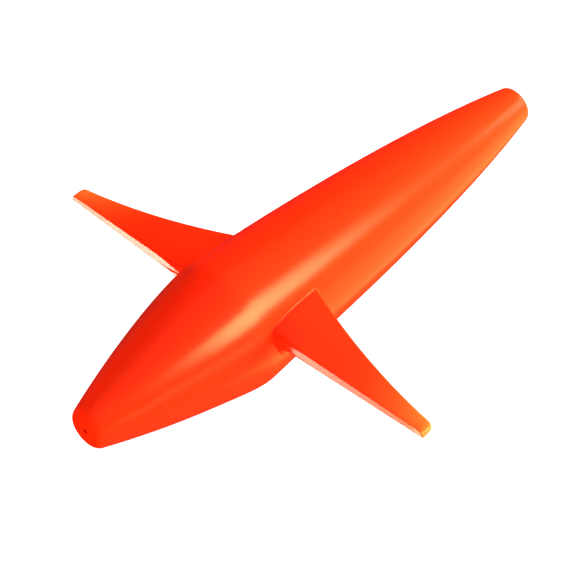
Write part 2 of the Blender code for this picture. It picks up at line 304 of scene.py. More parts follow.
@dataclass
class Wing:
    """One wing with its moulded root, as rings of points from the skin out to the end face."""

    body: FloatBody
    root_sink: float = 1.3 * MM
    front_station: float = 74.0 * MM
    sweep: float = 7.2 * MM
    root_chord: float = 25.7 * MM
    middle_chord: float = 13.4 * MM
    tip_chord: float = 5.8 * MM
    root_rise: float = 8.4 * MM
    tip_drop: float = 9.8 * MM
    root_facet: float = 5.9 * MM
    tip_facet: float = 3.2 * MM
    rear_edge: float = 1.4 * MM
    crown: float = 0.05
    upper_corner: float = 0.3 * MM
    lower_corner: float = 0.5 * MM
    root_upper_corner: float = 2.8 * MM
    root_lower_corner: float = 1.4 * MM
    corner_growth: tuple = (26.0 * MM, 44.0 * MM)
    nose_drop: float = 0.8 * MM
    nose_share: float = 0.5
    top_fillet: float = 0.07 * MM
    rear_fillet: float = 1.5 * MM
    under_fillet: float = 8.0 * MM
    tip_narrowing: float = 2.2 * MM
    tip_thinning: float = 1.9 * MM
    tip_anchor: tuple = (0.1, 0.15)
    tip_reach: float = 4.2 * MM
    gate_radius: float = 0.4 * MM
    gate_depth: float = 0.25 * MM
    gate_mark: tuple = ((1.15, 0.0), (1.0, 0.3), (0.75, 1.0))
    gate_pip: tuple = ((0.45, 1.0), (0.35, 0.5), (0.12, 0.4))
    slope_step: float = 0.1 * MM
    contact_search: tuple = (0.5, 3.0)
    top_steps: int = 22
    rear_steps: int = 9
    corner_steps: int = 6
    facet_steps: int = 9
    trim_margin: float = 0.03
    straight_steps: int = 36
    fillet_steps: int = 12
    tip_steps: int = 9

    @property
    def root_span(self) -> float:
        """The span where the wing's own taper starts, just inside the skin."""
        return CREST_RADIUS - self.root_sink

    def share(self, span: float) -> float:
        """How far out along the wing a span is: 0 at the root and 1 at the tip."""
        return (span - self.root_span) / (WING_TIP_SPAN - self.root_span)

    def chord(self, span: float) -> float:
        """The chord at a span: a parabola through the root, middle and tip chords."""
        t = self.share(span)
        root = self.root_chord * (1 - t) * (1 - 2 * t)
        return root + self.middle_chord * 4 * t * (1 - t) + self.tip_chord * t * (2 * t - 1)

    def facet(self, span: float) -> float:
        """The height of the front facet at a span."""
        return self.root_facet + (self.tip_facet - self.root_facet) * self.share(span)

    def front(self, span: float) -> float:
        """The station of the front facet at a span."""
        return self.front_station + self.sweep * self.share(span)

    def top(self, span: float) -> float:
        """The rise of the wing's top at a span."""
        return self.root_rise - self.tip_drop * self.share(span) + self.facet(span) / 2

    def growth(self, span: float) -> float:
        """How far the root's rounder shape has taken over: 0 outboard and 1 at the float."""
        full, none = self.corner_growth
        return min(max((none - span) / (none - full), 0.0), 1.0) ** 2

    def corner(self, span: float, upper: bool) -> float:
        """The radius of the corner above or below the facet, which grows as it nears the root."""
        share = self.growth(span)
        if upper:
            return self.upper_corner + (self.root_upper_corner - self.upper_corner) * share
        return self.lower_corner + (self.root_lower_corner - self.lower_corner) * share

    def underside(self, span: float) -> tuple[Vector, Vector, Vector]:
        """The middles of the two round edges that the underside touches, and its outward direction.

        Args:
            span: the distance from the middle plane.

        Returns:
            The lower corner's middle, the rear edge's middle and the direction, each as a
            station and a rise.
        """
        front, top = self.front(span), self.top(span)
        low = top - self.facet(span)
        radius = self.corner(span, False)
        corner = Vector((front + radius, low + radius))
        half = self.rear_edge / 2
        rear = Vector((front + self.chord(span) - half, top - half))
        across = rear - corner
        turn = math.acos((radius - half) / across.length)
        heading = math.atan2(across.y, across.x) - turn
        return corner, rear, Vector((math.cos(heading), math.sin(heading)))

    def section_point(self, part: Contour, share: float, span: float) -> tuple[Vector, Vector]:
        """A point of the plain section, without the root's fillets.

        Args:
            part: the stretch of the section.
            share: how far along the stretch the point is.
            span: the distance from the middle plane.

        Returns:
            The place and the section's outward direction, both as (station, rise).
        """
        corner, rear, down = self.underside(span)
        half = self.rear_edge / 2
        if part is Contour.TOP:
            start = self.front(span) + self.corner(span, True)
            hump = 4 * self.crown * self.facet(span)
            drop = self.nose_drop * self.growth(span)
            ahead = max(1.0 - share / self.nose_share, 0.0)
            rise = hump * share * (1 - share) - drop * ahead**2
            place = Vector((start + (rear.x - start) * share, self.top(span) + rise))
            tilt = hump * (1 - 2 * share) + 2 * drop * ahead / self.nose_share
            return place, Vector((-tilt / (rear.x - start), 1.0)).normalized()
        if part is Contour.REAR:
            last = math.atan2(down.y, down.x)
            angle = math.pi / 2 + (last - math.pi / 2) * share
            out = Vector((math.cos(angle), math.sin(angle)))
            return rear + half * out, out
        start, end = rear + half * down, corner + self.corner(span, False) * down
        return start.lerp(end, share), down

    def surface(self, part: Contour, share: float, span: float) -> tuple[Vector, Vector]:
        """A point of the plain wing, without the root's fillets.

        Args:
            part: the stretch of the section.
            share: how far along the stretch the point is.
            span: the distance from the middle plane.

        Returns:
            The place and the wing's outward direction, in float coordinates.
        """
        place, out = self.section_point(part, share, span)
        step = self.slope_step
        far = self.section_point(part, share, span + step)[0]
        near = self.section_point(part, share, span - step)[0]
        along = Vector((far.x - near.x, 2 * step, far.y - near.y))
        across = Vector((out.y, 0.0, -out.x))
        normal = across.cross(along).normalized()
        if normal.dot(Vector((out.x, 0.0, out.y))) < 0:
            normal.negate()
        return Vector((place.x, span, place.y)), normal

    def fillet(self, part: Contour, share: float) -> float:
        """The root fillet's radius, which grows rearwards on top and forwards underneath.

        Args:
            part: the stretch of the section.
            share: how far along the stretch the fillet is met.

        Returns:
            The radius there.
        """
        if part is Contour.TOP:
            return self.top_fillet + (self.rear_fillet - self.top_fillet) * share
        if part is Contour.REAR:
            return self.rear_fillet
        ease = share * share * (3 - 2 * share)
        return self.rear_fillet + (self.under_fillet - self.rear_fillet) * ease

    def generator(self, part: Contour, share: float) -> Generator:
        """Finds where a ball that touches both the wing and the float sits.

        Args:
            part: the stretch of the section.
            share: how far along the stretch the line starts.

        Returns:
            The line over the wing and round that ball to the float.
        """
        radius = self.fillet(part, share)
        low, high = (reach * CREST_RADIUS for reach in self.contact_search)
        for _ in range(HALVINGS):
            span = (low + high) / 2
            place, normal = self.surface(part, share, span)
            centre = place + radius * normal
            distance = (centre - self.body.nearest(centre)).length
            gap = math.copysign(distance, self.body.height(centre))
            low, high = (low, span) if gap > radius else (span, high)
        arriving = (self.body.nearest(centre) - centre).normalized()
        return Generator(
            start=WING_TIP_SPAN - self.tip_reach,
            contact=span,
            place=lambda at_span: self.surface(part, share, at_span),
            centre=centre,
            radius=radius,
            leaving=-normal,
            arriving=arriving,
        )

    def corner_point(self, line: Generator, upper: bool, run: float, share: float) -> Vector:
        """A point on the round corner beside the facet.

        Args:
            line: the generator that the corner follows.
            upper: whether the corner is the one above the facet.
            run: how far along the generator the point is.
            share: how far round the corner it is, from the generator to the facet's plane.

        Returns:
            The place, in float coordinates.
        """
        place, normal = line.at(run)
        radius = self.corner(place.y, upper)
        slope = self.sweep / (WING_TIP_SPAN - self.root_span)
        forward = Vector((-1.0, slope, 0.0)).normalized()
        middle = place - radius * normal
        return middle + radius * slerp(normal, forward, share)

    def trimmed(self, curve: Callable[[float], Vector], runs: list[float]) -> list[Vector]:
        """Samples a curve that dives into the float, spread out so that it ends at the skin.

        Args:
            curve: gives a place for a run.
            runs: the runs to sample, from 0 at the tip to 2.

        Returns:
            The places, the last of them on the skin.
        """
        low, high = 0.5, 2.0
        for _ in range(HALVINGS):
            middle = (low + high) / 2
            outside = self.body.height(curve(middle)) > 0
            low, high = (middle, high) if outside else (low, middle)
        knee = min(1.0, low - self.trim_margin)
        spread = [run * knee if run < 1.0 else knee + (run - 1.0) * (low - knee) for run in runs]
        points = [curve(run) for run in spread]
        last = points[-1]
        points[-1] = self.body.skin(last.x, math.atan2(last.z, last.y))
        return points

    def columns(self) -> list[list[Vector]]:
        """Draws the lines that the wing is lofted from.

        Returns:
            Lines of points from the tip to the skin, in order round the wing's section.
        """
        straight = [i / self.straight_steps for i in range(self.straight_steps + 1)]
        curved = [1.0 + i / self.fillet_steps for i in range(1, self.fillet_steps + 1)]
        runs = straight + curved
        upper, lower = self.generator(Contour.TOP, 0.0), self.generator(Contour.UNDER, 1.0)

        def facet_line(share: float) -> Callable[[float], Vector]:
            """A line on the facet, at a share of the way up it."""

            def line(run: float) -> Vector:
                """The line's place at a run."""
                low = self.corner_point(lower, False, run, 1.0)
                return low.lerp(self.corner_point(upper, True, run, 1.0), share)

            return line

        def corner_line(
            generator: Generator, above: bool, share: float
        ) -> Callable[[float], Vector]:
            """A line on a corner, at a share of the way from the generator to the facet."""
            return lambda run: self.corner_point(generator, above, run, share)

        made = []
        for i in range(self.facet_steps):
            made.append(self.trimmed(facet_line(i / self.facet_steps), runs))
        for i in range(self.corner_steps):
            share = 1.0 - i / self.corner_steps
            made.append(self.trimmed(corner_line(upper, True, share), runs))
        stretches = [(Contour.TOP, self.top_steps), (Contour.REAR, self.rear_steps)]
        stretches.append((Contour.UNDER, self.top_steps))
        for part, steps in stretches:
            for i in range(steps):
                line = self.generator(part, i / steps)
                made.append([line.at(run)[0] for run in runs])
        made.append([lower.at(run)[0] for run in runs])
        for i in range(1, self.corner_steps):
            share = i / self.corner_steps
            made.append(self.trimmed(corner_line(lower, False, share), runs))
        return made

    def rings(self) -> list[list[Vector]]:
        """Closed rings of points, from the one on the skin to the smallest in the gate's mark."""
        lines = self.columns()
        count = len(lines[0])
        made = [[line[count - 1 - i] for line in lines] for i in range(count)]
        return made + self.tip_rings(made[-1])

    def tip_rings(self, rim: list[Vector]) -> list[list[Vector]]:
        """Rounds the tip over, crosses its end face and sinks into the gate's mark.

        Args:
            rim: the wing's ring where the rounding starts.

        Returns:
            The closed rings, from the first one past the rim to the smallest.
        """
        lows = [min(p[i] for p in rim) for i in range(3)]
        highs = [max(p[i] for p in rim) for i in range(3)]
        chord, height = highs[0] - lows[0], highs[2] - lows[2]
        fore = lows[0] + self.tip_anchor[0] * chord
        floor = lows[2] + self.tip_anchor[1] * height
        start = WING_TIP_SPAN - self.tip_reach
        made = []
        for i in range(1, self.tip_steps + 1):
            turn = math.pi / 2 * i / self.tip_steps
            inset = 1 - math.cos(turn)
            out = self.tip_reach * math.sin(turn)
            wide = 1 - self.tip_narrowing * inset / chord
            tall = 1 - self.tip_thinning * inset / height
            made.append([
                Vector((fore + (p.x - fore) * wide, start + out, floor + (p.z - floor) * tall))
                for p in rim
            ])
        face = made[-1]
        gate = sum(face, Vector((0.0, 0.0, 0.0))) / len(face)

        def round_ring(radius: float, depth: float) -> list[Vector]:
            """A round ring about the gate, in step with the face's own points."""
            ring = []
            for p in face:
                angle = math.atan2(p.z - gate.z, p.x - gate.x)
                out = Vector((radius * math.cos(angle), -depth, radius * math.sin(angle)))
                ring.append(gate + out)
            return ring

        radius, depth = self.gate_radius, self.gate_depth
        shares = (*self.gate_mark, *self.gate_pip)
        sunk = [round_ring(wide * radius, deep * depth) for wide, deep in shares]
        made.append([p.lerp(q, 0.5) for p, q in zip(face, sunk[0])])
        return made + sunk


@dataclass(frozen=True)
class Grain:
    """The size and character of a noise: its scale, its octaves, and how rough and warped it is."""

    scale: float
    octaves: float
    roughness: float = 0.5
    warp: float = 0.0


class NodeSheet:
    """A node tree with short calls for adding and joining nodes."""

    FIRST_COLOUR = 6
    LAST_COLOUR = 7
    MIXED_COLOUR = 2

    def __init__(self, tree: bpy.types.NodeTree) -> None:
        """Keeps the tree that the calls add to."""
        self.tree = tree

    def add(self, kind: str, inputs: dict | None = None, **settings) -> bpy.types.Node:
        """Adds a node, sets it up, and feeds its inputs.

        Args:
            kind: the node's type name.
            inputs: what each input takes, by name or number: a socket or a plain value.
            settings: the node's own settings.

        Returns:
            The new node.
        """
        node = self.tree.nodes.new(kind)
        for name, value in settings.items():
            setattr(node, name, value)
        for name, value in (inputs or {}).items():
            self.feed(node.inputs[name], value)
        return node

    def feed(self, socket: bpy.types.NodeSocket, value: object) -> None:
        """Joins a socket to another, or sets its value."""
        if isinstance(value, bpy.types.NodeSocket):
            self.tree.links.new(value, socket)
        else:
            socket.default_value = value

    def maths(self, operation: str, *values: object) -> bpy.types.NodeSocket:
        """Adds a Math node and gives its result."""
        node = self.add("ShaderNodeMath", dict(enumerate(values)), operation=operation)
        return node.outputs[0]

    def noise(self, place: bpy.types.NodeSocket, grain: Grain) -> bpy.types.NodeSocket:
        """Adds a noise texture, and gives its value."""
        inputs = {"Vector": place, "Scale": grain.scale, "Detail": grain.octaves}
        inputs.update({"Roughness": grain.roughness, "Distortion": grain.warp})
        return self.add("ShaderNodeTexNoise", inputs).outputs["Fac"]

    def stretched(
        self, place: bpy.types.NodeSocket, scale: tuple, turn: tuple = (0.0, 0.0, 0.0)
    ) -> bpy.types.NodeSocket:
        """Adds a mapping that turns and stretches the coordinates.

        Args:
            place: the coordinates.
            scale: the stretch along each axis.
            turn: the turn about each axis, in radians.

        Returns:
            The new coordinates.
        """
        node = self.add("ShaderNodeMapping", {"Vector": place, "Rotation": turn, "Scale": scale})
        return node.outputs[0]

    def ramp(self, value: object, first: tuple, last: tuple) -> bpy.types.NodeSocket:
        """Adds a straight ramp.

        Args:
            value: the socket that gives the value.
            first: a value, and what it becomes.
            last: a higher value, and what it becomes.

        Returns:
            The value along the ramp, held at its ends.
        """
        ends = {"From Min": first[0], "To Min": first[1], "From Max": last[0], "To Max": last[1]}
        return self.add("ShaderNodeMapRange", {"Value": value, **ends}).outputs[0]

    def blend(self, share: object, first: object, last: object) -> bpy.types.NodeSocket:
        """Adds a blend of two colours."""
        colours = {0: share, self.FIRST_COLOUR: first, self.LAST_COLOUR: last}
        return self.add("ShaderNodeMix", colours, data_type="RGBA").outputs[self.MIXED_COLOUR]

    def bump(
        self, height: object, distance: float, strength: float = 1.0, under: object = None
    ) -> bpy.types.NodeSocket:
        """Adds a bump.

        Args:
            height: the socket that gives the height.
            distance: how deep a height of 1 is.
            strength: how much of the bump is kept.
            under: the normal that the bump lies over, if there is one.

        Returns:
            The bumped normal.
        """
        inputs = {"Height": height, "Strength": strength, "Distance": distance}
        if under is not None:
            inputs["Normal"] = under
        return self.add("ShaderNodeBump", inputs).outputs[0]

    def object_place(self) -> bpy.types.NodeSocket:
        """Adds the object's own coordinates."""
        return self.add("ShaderNodeTexCoord").outputs["Object"]

    def axis(self, place: object, number: int) -> bpy.types.NodeSocket:
        """Adds a split of the coordinates, and gives one of them."""
        return self.add("ShaderNodeSeparateXYZ", {0: place}).outputs[number]

    def camera_level(self, seen: float, otherwise: float) -> bpy.types.NodeSocket:
        """Adds a level that is higher for the camera's own rays.

        Args:
            seen: what is added for the camera's rays.
            otherwise: the level for all other rays.

        Returns:
            The level.
        """
        ray = self.add("ShaderNodeLightPath").outputs["Is Camera Ray"]
        return self.maths("MULTIPLY_ADD", ray, seen, otherwise)

    def close_surface(self, inputs: dict) -> None:
        """Adds the shader with its inputs, and joins it to the material's output."""
        shader = self.add("ShaderNodeBsdfPrincipled", inputs)
        self.add("ShaderNodeOutputMaterial", {"Surface": shader.outputs[0]})


def new_material(name: str) -> tuple[bpy.types.Material, NodeSheet]:
    """A material with an empty node tree, and the sheet to fill it with."""
    made = bpy.data.materials.new(name)
    made.use_nodes = True
    made.node_tree.nodes.clear()
    return made, NodeSheet(made.node_tree)


class HalfShellTree:
    """A geometry tree that turns a wall's outline half a turn and closes the parting plane."""

    NAME = "half_turned_shell"
    WELD = 0.002 * MM

    def __init__(self) -> None:
        """Builds the tree with its named inputs."""
        self.tree = bpy.data.node_groups.new(self.NAME, "GeometryNodeTree")
        self.inputs: dict[str, str] = {}
        for name, kind in (
            ("Outline", "NodeSocketGeometry"),
            ("Steps Around", "NodeSocketInt"),
            ("Parting Gap", "NodeSocketFloat"),
            ("Side", "NodeSocketFloat"),
            ("Head Setback", "NodeSocketFloat"),
            ("Axis Height", "NodeSocketFloat"),
            ("Finish", "NodeSocketMaterial"),
        ):
            socket = self.tree.interface.new_socket(name=name, in_out="INPUT", socket_type=kind)
            self.inputs[name] = socket.identifier
        self.tree.interface.new_socket(
            name="Shell", in_out="OUTPUT", socket_type="NodeSocketGeometry"
        )
        self.build()

    def build(self) -> None:
        """Adds the turned wall and its two parting faces, and welds them."""
        sheet = NodeSheet(self.tree)
        given = sheet.add("NodeGroupInput").outputs
        half_gap = sheet.maths("MULTIPLY", given["Parting Gap"], 0.5)
        wall = self.turned_wall(sheet, given, half_gap)
        caps = [self.parting_face(sheet, given, half_gap, sign) for sign in (1.0, -1.0)]
        joined = sheet.add("GeometryNodeJoinGeometry")
        for piece in (wall, *caps):
            self.tree.links.new(piece, joined.inputs[0])
        welded = sheet.add(
            "GeometryNodeMergeByDistance", {"Geometry": joined.outputs[0], "Distance": self.WELD}
        )
        real = sheet.add("GeometryNodeRealizeInstances", {"Geometry": welded.outputs[0]})
        dressed = sheet.add(
            "GeometryNodeSetMaterial", {"Geometry": real.outputs[0], "Material": given["Finish"]}
        )
        sheet.add("NodeGroupOutput", {0: dressed.outputs[0]})

    def turned_wall(
        self, sheet: NodeSheet, given: bpy.types.NodeOutputs, half_gap: bpy.types.NodeSocket
    ) -> bpy.types.NodeSocket:
        """Wraps a grid round the axis, with one row for each point of the outline.

        Args:
            sheet: the tree to add to.
            given: the tree's own inputs.
            half_gap: half of the gap between the two halves.

        Returns:
            The wall's skin, open at the parting plane.
        """
        size = sheet.add("GeometryNodeAttributeDomainSize", {0: given["Outline"]}, component="MESH")
        count = size.outputs["Point Count"]
        across = sheet.maths("ADD", given["Steps Around"], 1.0)
        rows = sheet.maths("ADD", count, 1.0)
        grid = sheet.add("GeometryNodeMeshGrid", {"Vertices X": rows, "Vertices Y": across})
        index = sheet.add("GeometryNodeInputIndex").outputs[0]
        row = sheet.maths("FLOOR", sheet.maths("DIVIDE", sheet.maths("ADD", index, 0.5), across))
        column = sheet.maths("SUBTRACT", index, sheet.maths("MULTIPLY", row, across))
        wrapped = sheet.maths("MODULO", row, count)
        place = sheet.add("GeometryNodeInputPosition").outputs[0]
        sample = sheet.add(
            "GeometryNodeSampleIndex",
            {"Geometry": given["Outline"], "Index": wrapped},
            data_type="FLOAT_VECTOR",
            domain="POINT",
        )
        self.tree.links.new(place, sample.inputs["Value"])
        outline = sheet.add("ShaderNodeSeparateXYZ", {0: sample.outputs[0]}).outputs
        limit = sheet.maths("ARCCOSINE", sheet.maths("DIVIDE", half_gap, outline[1]))
        turn = sheet.maths("DIVIDE", column, given["Steps Around"])
        turn = sheet.maths("MULTIPLY", limit, sheet.maths("MULTIPLY_ADD", turn, 2.0, -1.0))
        out = sheet.maths("MULTIPLY", outline[1], sheet.maths("COSINE", turn))
        rise = sheet.maths("MULTIPLY", outline[1], sheet.maths("SINE", turn))
        return self.placed(sheet, given, grid.outputs[0], (outline[0], out, rise))

    def parting_face(
        self,
        sheet: NodeSheet,
        given: bpy.types.NodeOutputs,
        half_gap: bpy.types.NodeSocket,
        sign: float,
    ) -> bpy.types.NodeSocket:
        """Fills the wall's outline on the parting plane.

        Args:
            sheet: the tree to add to.
            given: the tree's own inputs.
            half_gap: half of the gap between the two halves.
            sign: 1 for the face above the axis, and -1 for the one below it.

        Returns:
            The flat face.
        """
        curve = sheet.add("GeometryNodeMeshToCurve", {0: given["Outline"]}).outputs[0]
        face = sheet.add("GeometryNodeFillCurve", {0: curve}).outputs[0]
        position = sheet.add("GeometryNodeInputPosition").outputs[0]
        outline = sheet.add("ShaderNodeSeparateXYZ", {0: position}).outputs
        square = sheet.maths("MULTIPLY", outline[1], outline[1])
        rest = sheet.maths("SUBTRACT", square, sheet.maths("MULTIPLY", half_gap, half_gap))
        rise = sheet.maths("MULTIPLY", sheet.maths("SQRT", rest), sign)
        return self.placed(sheet, given, face, (outline[0], half_gap, rise))

    @staticmethod
    def placed(
        sheet: NodeSheet, given: bpy.types.NodeOutputs, geometry: bpy.types.NodeSocket, place: tuple
    ) -> bpy.types.NodeSocket:
        """Moves geometry to its place in the world.

        Args:
            sheet: the tree to add to.
            given: the tree's own inputs.
            geometry: what to move.
            place: the station, the outward distance and the rise of each point.

        Returns:
            The moved geometry.
        """
        station, out, rise = place
        combined = sheet.add(
            "ShaderNodeCombineXYZ",
            {
                0: sheet.maths("SUBTRACT", station, given["Head Setback"]),
                1: sheet.maths("MULTIPLY", out, given["Side"]),
                2: sheet.maths("ADD", rise, given["Axis Height"]),
            },
        )
        moved = sheet.add(
            "GeometryNodeSetPosition", {"Geometry": geometry, "Position": combined.outputs[0]}
        )
        return moved.outputs[0]


@dataclass(frozen=True)
class MouldedPlastic:
    """Glossy orange plastic as it leaves the mould: even colour, fine orange peel, light scuffs."""

    name: str = "float_orange"
    deep: tuple = (0.92, 0.0145, 0.0014, 1.0)
    bright: tuple = (0.95, 0.0170, 0.0018, 1.0)
    flow_stretch: tuple = (9.0, 40.0, 40.0)
    flow: Grain = Grain(1.0, 4.0, 0.6, 0.6)
    # Painted light: a lighter orange laid over the outer wing, standing in for the light that the
    # wing tips catch.
    painted_tip_light_tint: tuple = (1.0, 0.10, 0.012, 1.0)
    painted_tip_light_from: float = 45.0 * MM
    painted_tip_light_to: float = 97.0 * MM
    painted_tip_light_power: float = 2.7
    ior: float = 1.49
    gloss_tint: tuple = (1.0, 0.46, 0.17, 1.0)
    gloss_level: float = 0.5
    glossy_from: float = 2.6 * MM
    matt_level: float = 0.0
    matt_end: float = 0.4 * MM
    roughness: float = 0.20
    roughness_spread: float = 0.07
    patches: Grain = Grain(55.0, 5.0, 0.62)
    scuffs: Grain = Grain(1.0, 2.0)
    scuff_turn: tuple = (0.3, 0.5, 0.7)
    scuff_stretch: tuple = (60.0, 900.0, 900.0)
    scuff_from: float = 0.60
    scuff_to: float = 0.80
    scuff_roughness: float = 0.02
    peel: Grain = Grain(1.0 / (1.3 * MM), 2.0)
    peel_depth: float = 0.010 * MM
    wave: Grain = Grain(1.0 / (22.0 * MM), 1.0)
    wave_depth: float = 0.06 * MM

    def colour(self, sheet: NodeSheet, place: bpy.types.NodeSocket) -> bpy.types.NodeSocket:
        """Streaks the orange along the flow of the moulding, and paints it lighter towards the wing
        tips, as painted light for the light that the tips catch.

        Args:
            sheet: the material's tree.
            place: the object's own coordinates.

        Returns:
            The colour.
        """
        streak = sheet.noise(sheet.stretched(place, self.flow_stretch), self.flow)
        tint = sheet.blend(streak, self.deep, self.bright)
        span = sheet.maths("ABSOLUTE", sheet.axis(place, 1))
        # Painted light: the orange is painted lighter towards the wing tips, where the tips catch
        # the light.
        tip_light = sheet.ramp(span, (self.painted_tip_light_from, 0.0), (self.painted_tip_light_to, 1.0))
        return sheet.blend(sheet.maths("POWER", tip_light, self.painted_tip_light_power), tint, self.painted_tip_light_tint)

    def gloss(self, sheet: NodeSheet, place: bpy.types.NodeSocket) -> bpy.types.NodeSocket:
        """Takes the gloss off the trimmed end faces of the float.

        Args:
            sheet: the material's tree.
            place: the object's own coordinates.

        Returns:
            The level of the gloss.
        """
        off_middle = sheet.maths("ABSOLUTE", sheet.axis(place, 0))
        reach = sheet.maths("SUBTRACT", LENGTH / 2, off_middle)
        matt = (self.matt_end, self.matt_level)
        return sheet.ramp(reach, matt, (self.glossy_from, self.gloss_level))

    def haze(self, sheet: NodeSheet, place: bpy.types.NodeSocket) -> bpy.types.NodeSocket:
        """Varies the roughness in soft patches, with light scuffs over them.

        Args:
            sheet: the material's tree.
            place: the object's own coordinates.

        Returns:
            The roughness.
        """
        patches = sheet.noise(place, self.patches)
        brushed = sheet.stretched(place, self.scuff_stretch, self.scuff_turn)
        rub = sheet.noise(brushed, self.scuffs)
        scuff = sheet.ramp(rub, (self.scuff_from, 0.0), (self.scuff_to, self.scuff_roughness))
        rough = sheet.maths("MULTIPLY_ADD", patches, self.roughness_spread, self.roughness)
        return sheet.maths("ADD", rough, scuff)

    def relief(self, sheet: NodeSheet, place: bpy.types.NodeSocket) -> bpy.types.NodeSocket:
        """Lays a fine orange peel over a broad, shallow wave.

        Args:
            sheet: the material's tree.
            place: the object's own coordinates.

        Returns:
            The bumped normal.
        """
        broad = sheet.bump(sheet.noise(place, self.wave), self.wave_depth)
        return sheet.bump(sheet.noise(place, self.peel), self.peel_depth, under=broad)

    def make(self) -> bpy.types.Material:
        """Builds the finish.

        Returns:
            The material.
        """
        made, sheet = new_material(self.name)
        place = sheet.object_place()
        sheet.close_surface({
            "Base Color": self.colour(sheet, place),
            "Roughness": self.haze(sheet, place),
            "Normal": self.relief(sheet, place),
            "IOR": self.ior,
            "Specular IOR Level": self.gloss(sheet, place),
            "Specular Tint": self.gloss_tint,
        })
        return made


@dataclass(frozen=True)
class DrawnNylon:
    """Natural extruded nylon: cloudy, with faint lines along the tube."""

    name: str = "tube_nylon"
    cloudy: tuple = (0.70, 0.68, 0.60, 1.0)
    clear: tuple = (0.80, 0.78, 0.71, 1.0)
    ior: float = 1.53
    cloud: Grain = Grain(120.0, 4.0)
    line_stretch: tuple = (30.0, 2500.0, 2500.0)
    lines: Grain = Grain(1.0, 3.0)
    line_depth: float = 0.02 * MM
    line_strength: float = 0.6
    roughness: float = 0.36
    roughness_spread: float = 0.15

    def make(self) -> bpy.types.Material:
        """Builds the finish.

        Returns:
            The material.
        """
        made, sheet = new_material(self.name)
        place = sheet.object_place()
        lines = sheet.noise(sheet.stretched(place, self.line_stretch), self.lines)
        cloud = sheet.noise(place, self.cloud)
        sheet.close_surface({
            "Base Color": sheet.blend(cloud, self.cloudy, self.clear),
            "Roughness": sheet.maths("MULTIPLY_ADD", lines, self.roughness_spread, self.roughness),
            "Normal": sheet.bump(lines, self.line_depth, self.line_strength),
            "IOR": self.ior,
        })
        return made


@dataclass(frozen=True)
class ZincSteel:
    """Zinc-plated steel rod: fine turning lines and a patchy dull bloom."""

    name: str = "weight_steel"
    bright: tuple = (0.58, 0.59, 0.60, 1.0)
    dull: tuple = (0.36, 0.37, 0.38, 1.0)
    bloom: Grain = Grain(160.0, 6.0, 0.7)
    line_stretch: tuple = (4000.0, 60.0, 60.0)
    lines: Grain = Grain(1.0, 3.0)
    line_depth: float = 0.01 * MM
    line_strength: float = 0.5
    roughness: float = 0.22
    roughness_spread: float = 0.3

    def make(self) -> bpy.types.Material:
        """Builds the finish.

        Returns:
            The material.
        """
        made, sheet = new_material(self.name)
        place = sheet.object_place()
        lines = sheet.noise(sheet.stretched(place, self.line_stretch), self.lines)
        bloom = sheet.noise(place, self.bloom)
        sheet.close_surface({
            "Base Color": sheet.blend(bloom, self.bright, self.dull),
            "Roughness": sheet.maths("MULTIPLY_ADD", bloom, self.roughness_spread, self.roughness),
            "Normal": sheet.bump(lines, self.line_depth, self.line_strength),
            "Metallic": 1.0,
        })
        return made


